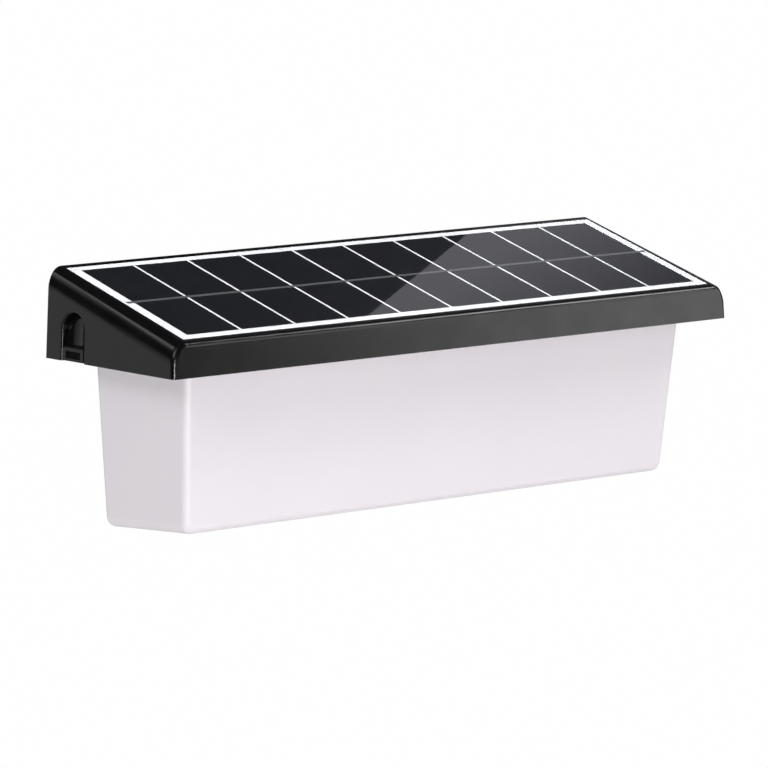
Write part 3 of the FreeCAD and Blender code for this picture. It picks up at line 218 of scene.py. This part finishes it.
def soft_rubber(name, colour):
    skin = Surface(name, colour, 0.7)
    skin.tint(skin.noise(size=4 * MM, detail=4), (0.3, colour), (0.75, scaled(colour, 1.5)))
    skin.rough(skin.noise(size=2 * MM, detail=3), low=0.62, high=0.78)
    skin.bump(skin.noise(size=0.3 * MM, detail=3), depth=0.03 * MM, strength=0.4)
    return skin.material


def foam_tape():
    skin = Surface("tape_foam", (0.035, 0.035, 0.035), 0.9)
    pores = skin.grains(size=0.35 * MM)
    skin.tint(pores, (0.15, (0.012, 0.012, 0.012)), (0.6, (0.05, 0.05, 0.05)))
    skin.bump(pores, depth=0.08 * MM, strength=0.6)
    return skin.material


PANE_TINT = (0.97, 0.975, 0.98)
PANE_IOR = 1.5
PANE_HAZE = (0.006, 0.014)
PANE_HAZE_SIZE = 6 * MM
PANE_RIPPLE = 0.002 * MM
PANE_RIPPLE_SIZE = 14 * MM


def clear_pane():
    """Clear sheet: a mirror-like skin over what lies below, with no second reflection at its back."""

    def shaders(tree):
        place = place_in_frame(tree)

        def noise(size):
            texture = tree.nodes.new("ShaderNodeTexNoise")
            texture.inputs["Scale"].default_value = 1 / size
            tree.links.new(place, texture.inputs["Vector"])
            return texture.outputs[0]

        clear = tree.nodes.new("ShaderNodeBsdfTransparent")
        clear.inputs["Color"].default_value = (*PANE_TINT, 1)
        ripple = tree.nodes.new("ShaderNodeBump")
        ripple.inputs["Distance"].default_value = PANE_RIPPLE
        tree.links.new(noise(PANE_RIPPLE_SIZE), ripple.inputs["Height"])
        haze = map_range(tree, noise(PANE_HAZE_SIZE), *PANE_HAZE)
        mirror = tree.nodes.new("ShaderNodeBsdfAnisotropic")
        mirror.inputs["Color"].default_value = (*WHITE, 1)
        tree.links.new(haze.outputs[0], mirror.inputs["Roughness"])
        tree.links.new(ripple.outputs[0], mirror.inputs["Normal"])
        fresnel = tree.nodes.new("ShaderNodeFresnel")
        fresnel.inputs["IOR"].default_value = PANE_IOR
        front = math_node(tree, "SUBTRACT", 1, facing_back(tree))
        share = math_node(tree, "MULTIPLY", fresnel.outputs[0], front)
        return share, clear.outputs[0], mirror.outputs[0]

    return two_shader_material("cover_glass", shaders)


FINGER_PITCH = 1.7 * MM
FINGER_WIDTH = 0.07 * MM


def silicon():
    """Near-black cells with a faint blue mottle and fine printed fingers across the ribbon."""
    skin = Surface("cell_silicon", (0.006, 0.007, 0.010), 0.32, Specular_IOR_Level=0.1)
    beside = skin.math("PINGPONG", skin.axis("X"), FINGER_PITCH / 2)
    finger = skin.math("LESS_THAN", beside, FINGER_WIDTH / 2)
    mottle = skin.remap(skin.noise(size=11 * MM, detail=4), low=0.0, high=0.5)
    skin.tint(
        skin.math("MAXIMUM", mottle, finger),
        (0.0, (0.0062, 0.0065, 0.0092)),
        (0.5, (0.0084, 0.0088, 0.0124)),
        (1.0, (0.04, 0.04, 0.042)),
    )
    skin.rough(skin.noise(size=1.2 * MM, detail=2), low=0.28, high=0.36)
    return skin.material


# The white line in each gap between the cells, and how far its front end leans to the right.
CELLS = 10
CELL_GAP = 1.3 * MM
GAP_LINE = 0.85 * MM
GAP_LINE_SLANT = 0.22 * MM


def white_sheet():
    """White board: in the gaps between the cells a thin white line shows on a dark ground."""
    skin = Surface("backsheet_white", (0.9, 0.9, 0.91), 0.5, Specular_IOR_Level=0.2)
    low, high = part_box("solar_cells")
    across, depth = skin.axis("X"), skin.axis("Y")
    slant = skin.remap(depth, GAP_LINE_SLANT, 0, start=low[1], end=high[1])
    pitch = (high[0] - low[0] + CELL_GAP) / CELLS
    beside = skin.math("PINGPONG", skin.math("SUBTRACT", across, slant), pitch / 2)
    ground = skin.math("GREATER_THAN", beside, GAP_LINE / 2)
    for part, ends in ((across, (low[0], high[0])), (depth, (low[1], high[1]))):
        within = skin.math("COMPARE", part, sum(ends) / 2, (ends[1] - ends[0]) / 2)
        ground = skin.math("MULTIPLY", ground, within)
    shade = skin.remap(skin.noise(size=6 * MM, detail=4), low=0.5, high=1.0)
    bare = skin.math("SUBTRACT", 1, ground)
    skin.tint(
        skin.math("MULTIPLY", shade, bare),
        (0.0, (0.0075, 0.0078, 0.011)),
        (0.5, (0.88, 0.88, 0.89)),
        (1.0, (0.94, 0.94, 0.95)),
    )
    skin.rough(skin.noise(size=3 * MM, detail=3), low=0.45, high=0.55)
    skin.bump(skin.noise(size=0.5 * MM, detail=2), depth=0.01 * MM, strength=0.06)
    return skin.material


def metal(name, colour, roughness, streak, metallic=1.0):
    """Metal with fine scratches along the axis whose scale in streak is smallest."""
    skin = Surface(name, colour, roughness, Metallic=metallic)
    skin.tint(skin.noise(size=3 * MM, detail=4), (0.3, colour), (0.75, scaled(colour, 1.15)))
    scratches = skin.noise(size=0.5 * MM, detail=3, stretch=streak)
    skin.rough(scratches, low=roughness - 0.06, high=roughness + 0.08)
    skin.bump(scratches, depth=0.01 * MM, strength=0.4)
    return skin.material


def plain_moulding(name, colour, roughness):
    skin = Surface(name, colour, roughness)
    skin.tint(skin.noise(size=7 * MM, detail=4), (0.3, scaled(colour, 0.92)), (0.75, colour))
    skin.rough(skin.noise(size=2.5 * MM, detail=3), low=roughness - 0.04, high=roughness + 0.06)
    skin.bump(skin.noise(size=0.4 * MM, detail=2), depth=0.015 * MM, strength=0.3)
    return skin.material


TRACE_PITCH = 2.6 * MM
TRACE_WIDTH = 0.5 * MM
TRACE_BREAKS = (0.4, 1.6, 1)
TRACE_SHARE = 0.5


def circuit_board(name, base, trace):
    """Solder mask with fine traces that show through it."""
    skin = Surface(name, base, 0.35, Coat_Weight=0.3, Coat_Roughness=0.2)
    beside = skin.math("PINGPONG", skin.axis("Y"), TRACE_PITCH / 2)
    lane = skin.math("LESS_THAN", beside, TRACE_WIDTH / 2)
    patches = skin.noise(size=5 * MM, detail=1, stretch=TRACE_BREAKS)
    traces = skin.math("MULTIPLY", lane, skin.math("GREATER_THAN", patches, TRACE_SHARE))
    skin.tint(traces, (0.0, base), (1.0, trace))
    skin.bump(traces, depth=0.03 * MM, strength=0.6)
    return skin.material


def battery_film():
    skin = Surface("battery_sleeve", (0.09, 0.2, 0.42), 0.3, Coat_Weight=0.5, Coat_Roughness=0.15)
    skin.tint(
        skin.noise(size=8 * MM, detail=3),
        (0.3, (0.075, 0.17, 0.37)),
        (0.7, (0.10, 0.22, 0.45)),
    )
    creases = skin.noise(size=2 * MM, detail=3, stretch=(0.3, 1, 1))
    skin.bump(creases, depth=0.05 * MM, strength=0.3)
    return skin.material


MATERIALS = {
    "housing_black": moulded_black(),
    "diffuser_milk": milky_diffuser(),
    "seal_rubber": soft_rubber("seal_rubber", (0.05, 0.05, 0.05)),
    "button_rubber": soft_rubber("button_rubber", (0.02, 0.02, 0.022)),
    "tape_foam": foam_tape(),
    "cover_glass": clear_pane(),
    "cell_silicon": silicon(),
    "backsheet_white": white_sheet(),
    "ribbon_tin": metal("ribbon_tin", (0.18, 0.18, 0.185), 0.42, (0.05, 1, 1), 0.5),
    "screw_steel": metal("screw_steel", (0.55, 0.55, 0.56), 0.36, (1, 1, 0.1)),
    "tray_white": plain_moulding("tray_white", (0.85, 0.85, 0.85), 0.45),
    "led_board_white": circuit_board("led_board_white", (0.86, 0.86, 0.86), (0.78, 0.78, 0.76)),
    "led_yellow": plain_moulding("led_yellow", (0.9, 0.74, 0.25), 0.35),
    "battery_sleeve": battery_film(),
    "strap_steel": metal("strap_steel", (0.5, 0.5, 0.51), 0.36, (1, 0.1, 1)),
    "board_green": circuit_board("board_green", (0.02, 0.13, 0.06), (0.05, 0.26, 0.11)),
    "socket_cream": plain_moulding("socket_cream", (0.78, 0.74, 0.62), 0.4),
    "component_black": plain_moulding("component_black", (0.03, 0.03, 0.03), 0.4),
    "plunger_white": plain_moulding("plunger_white", (0.8, 0.8, 0.8), 0.4),
    "lead_sleeve": soft_rubber("lead_sleeve", (0.12, 0.03, 0.03)),
}

slot_of = {row["node"]: row["material_slot"] for row in frame["record"]["subparts"]}
for name, node in NODES.items():
    for slot in node.material_slots:
        slot.material = MATERIALS[slot_of[name]]


# Pieces.


def new_piece(name, mesh_builder, slot):
    mesh = bpy.data.meshes.new(name)
    mesh_builder.normal_update()
    mesh_builder.to_mesh(mesh)
    mesh_builder.free()
    mesh.materials.append(MATERIALS[slot])
    piece = bpy.data.objects.new(name, mesh)
    bpy.context.scene.collection.objects.link(piece)
    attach(piece, "light")
    return piece


def corners_of(x_ends, y_ends):
    """The corners of a rectangle, in order round it."""
    (left, right), (low, high) = x_ends, y_ends
    return [(left, low), (right, low), (right, high), (left, high)]


def around(count):
    """Pairs of neighbours on a closed loop of so many points."""
    return [(i, (i + 1) % count) for i in range(count)]


def join(build, low, high):
    """Faces from one loop of vertices to the next."""
    return [build.faces.new((low[i], low[j], high[j], high[i])) for i, j in around(len(low))]


# The cover's softened edge: its height, the levels of its rings below the top in shares of that
# height, and how much it bulges. The room is kept to the ribbon and to what lies below.
PANE_EDGE = 0.12 * MM
PANE_EDGE_LEVELS = (1.0, 0.3, 0.0)
PANE_EDGE_BULGE = 0.3
PANE_ROOM = 0.01 * MM


def node_on_slope(name):
    """Ends of a node along X, up the slope and along the panel's normal."""
    points = [vertex.co for vertex in NODES[name].data.vertices]
    for measures in (
        [point.x for point in points],
        [point.dot(PANEL_UPHILL) for point in points],
        [point.dot(PANEL_NORMAL) for point in points],
    ):
        yield min(measures), max(measures)


def make_pane():
    """Clear cover with softened edges and a groove below it for the ribbon."""
    across, up, high = node_on_slope("panel_cover")
    ribbon_across, ribbon_up, ribbon_high = node_on_slope("cell_ribbon")
    build = bmesh.new()

    def ring(x_ends, up_ends, level):
        return [
            build.verts.new(Vector((x, 0, 0)) + PANEL_UPHILL * rise + PANEL_NORMAL * level)
            for x, rise in corners_of(x_ends, up_ends)
        ]

    def inset(ends, step):
        return (ends[0] + step, ends[1] - step)

    foot = high[0] + PANE_ROOM
    groove = (inset(ribbon_across, -PANE_ROOM), inset(ribbon_up, -PANE_ROOM))
    rings = [
        ring(*groove, ribbon_high[1] + PANE_ROOM),
        ring(*groove, foot),
        ring(across, up, foot),
    ]
    for share in PANE_EDGE_LEVELS:
        step = PANE_EDGE * (1 - share) * (1 - PANE_EDGE_BULGE * share)
        rings.append(ring(inset(across, step), inset(up, step), high[1] - PANE_EDGE * share))
    for low, top in zip(rings, rings[1:]):
        join(build, low, top)
    build.faces.new(rings[0][::-1])
    build.faces.new(rings[-1])
    bmesh.ops.recalc_face_normals(build, faces=build.faces)
    pane = new_piece("panel_pane", build, "cover_glass")
    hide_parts("panel_cover")


make_pane()


# The screws' domed heads: DOME_RISE is a share of the head's height, and the flat, the cross recess's
# arm, half width and depth are shares of its radius. CROSS_TAPER is the recess's size at its bottom.
HEAD_SIDES = 40
DOME_STEPS = 6
DOME_RISE = 0.42
DOME_FLAT = 0.78
CROSS_ARM = 0.62
CROSS_WIDTH = 0.17
CROSS_DEPTH = 0.5
CROSS_TAPER = 0.55
TIP_CHAMFER = 0.25 * MM
# Vertices this near count as one place or one level, the levels rounded to so many digits of a metre.
SAME_PLACE = 0.001 * MM
SAME_LEVEL = 0.01 * MM
LEVEL_DIGITS = 6


def islands(name):
    """Corner points of each separate solid of a node, its vertices joined by edges and by place."""
    mesh = NODES[name].data
    leader = list(range(len(mesh.vertices)))

    def find(index):
        while leader[index] != index:
            leader[index] = leader[leader[index]]
            index = leader[index]
        return index

    at_place = {}
    for vertex in mesh.vertices:
        place = tuple(round(part / SAME_PLACE) for part in vertex.co)
        leader[find(vertex.index)] = find(at_place.setdefault(place, vertex.index))
    for edge in mesh.edges:
        first, second = edge.vertices
        leader[find(first)] = find(second)
    groups = {}
    for vertex in mesh.vertices:
        groups.setdefault(find(vertex.index), []).append(vertex.co.copy())
    return list(groups.values())


def add_screw(build, points):
    """One screw, head down: its sizes are those of the solid that it stands for."""

    def middle(values):
        return (min(values) + max(values)) / 2

    centre = Vector((middle([p.x for p in points]), middle([p.y for p in points]), 0))
    levels = sorted({round(p.z, LEVEL_DIGITS) for p in points})
    foot, seat, tip = levels[0], levels[1], levels[-1]

    def radius_at(level):
        return max((p - centre).xy.length for p in points if abs(p.z - level) < SAME_LEVEL)

    head, shank = radius_at(foot), radius_at(tip)

    def loop(outline, level):
        return [build.verts.new(centre + Vector((x, y, level))) for x, y in outline]

    def ring(radius, level):
        turns = (2 * math.pi * i / HEAD_SIDES for i in range(HEAD_SIDES))
        return loop([(radius * math.cos(t), radius * math.sin(t)) for t in turns], level)

    rings = []
    for i in range(DOME_STEPS + 1):
        turn = math.pi / 2 * i / DOME_STEPS
        radius = head * (DOME_FLAT + (1 - DOME_FLAT) * math.sin(turn))
        rings.append(ring(radius, foot + DOME_RISE * (seat - foot) * (1 - math.cos(turn))))
    rings.append(ring(head, seat))
    rings.append(ring(shank, seat))
    rings.append(ring(shank, tip - TIP_CHAMFER))
    rings.append(ring(shank - TIP_CHAMFER, tip))
    round_faces = []
    for low, high in zip(rings, rings[1:]):
        round_faces += join(build, low, high)
    build.faces.new(rings[-1])

    arm, width = CROSS_ARM * head, CROSS_WIDTH * head
    corner = [(arm, -width), (arm, width), (width, width)]
    outline = []
    for _ in range(4):
        outline += corner
        corner = [(-y, x) for x, y in corner]
    mouth = loop(outline, foot)
    bottom = loop(
        [(CROSS_TAPER * x, CROSS_TAPER * y) for x, y in outline], foot + CROSS_DEPTH * head
    )
    join(build, bottom, mouth)
    build.faces.new(bottom[::-1])
    rim = [
        build.edges.get((verts[i], verts[j]))
        for verts in (mouth, rings[0])
        for i, j in around(len(verts))
    ]
    bmesh.ops.triangle_fill(build, use_beauty=True, edges=rim, normal=(0, 0, -1))
    for face in round_faces:
        face.smooth = True


def make_screws():
    build = bmesh.new()
    for points in islands("plate_screws"):
        add_screw(build, points)
    bmesh.ops.recalc_face_normals(build, faces=build.faces)
    screws = new_piece("cross_head_screws", build, "screw_steel")
    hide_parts("plate_screws")


make_screws()


# Stage, lights and camera.

FLOOR_LEVEL = -0.25
FLOOR_REACH = 40.0
FLOOR_SEEN = 0.995
FLOOR_GLOW = 0.6
FLOOR_GLOW_FAR = 0.06
FLOOR_GLOW_REACH = (0.7, 2.2)
WORLD_GLOW = 0.02


def glow_material(name, strength_of, colour):
    """A sheet that glows on its front and is clear from behind, so that it hides nothing."""

    def shaders(tree):
        glow = tree.nodes.new("ShaderNodeEmission")
        glow.inputs["Color"].default_value = (*colour, 1)
        tree.links.new(strength_of(tree), glow.inputs["Strength"])
        clear = tree.nodes.new("ShaderNodeBsdfTransparent")
        return facing_back(tree), glow.outputs[0], clear.outputs[0]

    return two_shader_material(name, shaders)


def seen_and_cast(tree, seen, cast):
    """One brightness for the eye and another for the light that it gives."""
    path = tree.nodes.new("ShaderNodeLightPath")
    return map_range(tree, path.outputs["Is Camera Ray"], cast, seen).outputs[0]


def flat_sheet(name, x_ends, y_ends, level, material):
    corners = [(x, y, level) for x, y in corners_of(x_ends, y_ends)]
    mesh = bpy.data.meshes.new(name)
    mesh.from_pydata(corners, [], [range(len(corners))])
    mesh.materials.append(material)
    sheet = bpy.data.objects.new(name, mesh)
    bpy.context.scene.collection.objects.link(sheet)
    return sheet


def make_floor():
    """Even white to the eye, and a soft pool of light round the part."""

    def strength(tree):
        length = tree.nodes.new("ShaderNodeVectorMath")
        length.operation = "LENGTH"
        tree.links.new(place_in_frame(tree), length.inputs[0])
        distance = length.outputs["Value"]
        fade = map_range(tree, distance, FLOOR_GLOW, FLOOR_GLOW_FAR, *FLOOR_GLOW_REACH)
        fade.interpolation_type = "SMOOTHSTEP"
        return seen_and_cast(tree, FLOOR_SEEN, fade.outputs[0])

    ends = (-FLOOR_REACH, FLOOR_REACH)
    flat_sheet("floor", ends, ends, FLOOR_LEVEL, glow_material("floor_white", strength, WHITE))


def make_world():
    world = bpy.data.worlds.new("studio")
    world.use_nodes = True
    tree = world.node_tree
    background = tree.nodes["Background"]
    background.inputs["Color"].default_value = (*WHITE, 1)
    strength = seen_and_cast(tree, FLOOR_SEEN, WORLD_GLOW)
    tree.links.new(strength, background.inputs["Strength"])
    bpy.context.scene.world = world


make_floor()
make_world()

# Name, place, aim, width and height, power in watts.
LIGHTS = (
    ("top_box", (0, -0.2, 1.2), (0, -0.03, 0), (0.8, 0.8), 18.6),
    ("key_box", (0.79, -0.64, 0.10), (0.05, -0.06, -0.02), (0.52, 0.5), 3.2),
    ("corner_strip", (-0.88, -0.97, -0.1), (-0.1, -0.06, -0.02), (0.05, 0.4), 7.5),
    ("low_card", (-0.3, -0.45, -0.185), (-0.3, 0, -0.185), (0.6, 0.1), 0.45),
    ("front_fill", (0.1, -1.35, -0.02), (0, -0.05, -0.03), (1.4, 0.3), 0.8),
    ("left_fill", (-1.12, -0.28, 0.65), (-0.1, -0.03, -0.03), (0.6, 0.4), 3.6),
    ("end_box", (-0.80, 0.93, -0.06), (-0.1, -0.03, 0), (1.2, 0.34), 0.9),
    ("shoulder_box", (-0.625, 0.555, 0.615), (-0.1, -0.03, 0), (0.3, 0.18), 0.5),
    ("edge_box", (0.77, -0.46, 0.69), (0, -0.05, 0), (0.3, 0.25), 3.2),
    ("back_fill", (0.15, 1.3, 0.35), (0, 0, -0.03), (0.8, 0.5), 5.0),
)
# Not mirrored: it is too bright for the clear cover, and shows as a dash on the left shoulder.
UNMIRRORED = "top_box"


def area_light(name, place, aim, size, power):
    lamp = bpy.data.lights.new(name, "AREA")
    lamp.shape = "RECTANGLE"
    lamp.size, lamp.size_y = size
    lamp.energy = power
    item = bpy.data.objects.new(name, lamp)
    item.location = place
    item.rotation_euler = (Vector(aim) - Vector(place)).to_track_quat("-Z", "Y").to_euler()
    item.visible_camera = False
    item.visible_glossy = name != UNMIRRORED
    bpy.context.scene.collection.objects.link(item)


for light in LIGHTS:
    area_light(*light)

# A pale card that the clear cover mirrors: its edge crosses the panel as a slanting line, of which
# CARD_LINE is the run and the rise. The card dims along CARD_FADE, its distances from that edge.
CARD_PLACE = Vector((0.53057, 0.43095, 0.39708))
CARD_TOWARDS = Vector((-0.65334, -0.57889, -0.48789))
CARD_SIDE = Vector((-0.66318, 0.74846, 0.0))
CARD_LINE = (0.462, 0.887)
CARD_REACH = 0.3
CARD_GLOW = 0.455
CARD_DIM = 0.113
CARD_FADE = (0.015, 0.08)
CARD_COLOUR = (0.94, 0.94, 1.0)


def make_card():
    def strength(tree):
        split = tree.nodes.new("ShaderNodeSeparateXYZ")
        tree.links.new(place_in_frame(tree), split.inputs[0])
        return map_range(tree, split.outputs["X"], CARD_GLOW, CARD_DIM, *CARD_FADE).outputs[0]

    glow = glow_material("card_glow", strength, CARD_COLOUR)
    card = flat_sheet("reflection_card", (0, CARD_REACH), (-CARD_REACH, CARD_REACH), 0, glow)
    run, rise = CARD_LINE
    lean = math.atan2(rise, run)
    upward = CARD_SIDE.cross(CARD_TOWARDS)
    along = CARD_SIDE * math.cos(lean) + upward * math.sin(lean)
    inward = along.cross(CARD_TOWARDS)
    if inward.dot(CARD_SIDE) > 0:
        inward = -inward
    facing = inward.cross(along)
    turn = Matrix((inward, along, facing)).transposed()
    card.matrix_world = Matrix.Translation(CARD_PLACE) @ turn.to_4x4()
    card.visible_camera = False


make_card()

YAW = -40.658 * DEGREE
PITCH = 8.1245 * DEGREE
ROLL = 0.221 * DEGREE
FOCAL_PIXELS = 5164.82
IMAGE_PIXELS = 768
SENSOR_MM = 36.0
# The camera's place along its own right, up and back directions from the middle of the housing's rim.
CAMERA_OFFSET = Vector((16.0404, -17.5272, 1587.8754)) * MM
RIM_LEVEL = -11.15 * MM


def make_camera():
    level_share = math.cos(PITCH)
    back = Vector((math.sin(YAW) * level_share, -math.cos(YAW) * level_share, math.sin(PITCH)))
    level = Vector((math.cos(YAW), math.sin(YAW), 0))
    rise = back.cross(level)
    right = level * math.cos(ROLL) + rise * math.sin(ROLL)
    up = rise * math.cos(ROLL) - level * math.sin(ROLL)
    turn = Matrix((right, up, back)).transposed()
    lens = bpy.data.cameras.new("camera")
    lens.sensor_width = SENSOR_MM
    lens.lens = SENSOR_MM * FOCAL_PIXELS / IMAGE_PIXELS
    lens.clip_end = 2 * FLOOR_REACH
    camera = bpy.data.objects.new("camera", lens)
    place = turn @ CAMERA_OFFSET + Vector((0, 0, RIM_LEVEL))
    camera.matrix_world = Matrix.Translation(place) @ turn.to_4x4()
    bpy.context.scene.collection.objects.link(camera)
    bpy.context.scene.camera = camera


make_camera()
bpy.context.scene.view_settings.view_transform = "Standard"
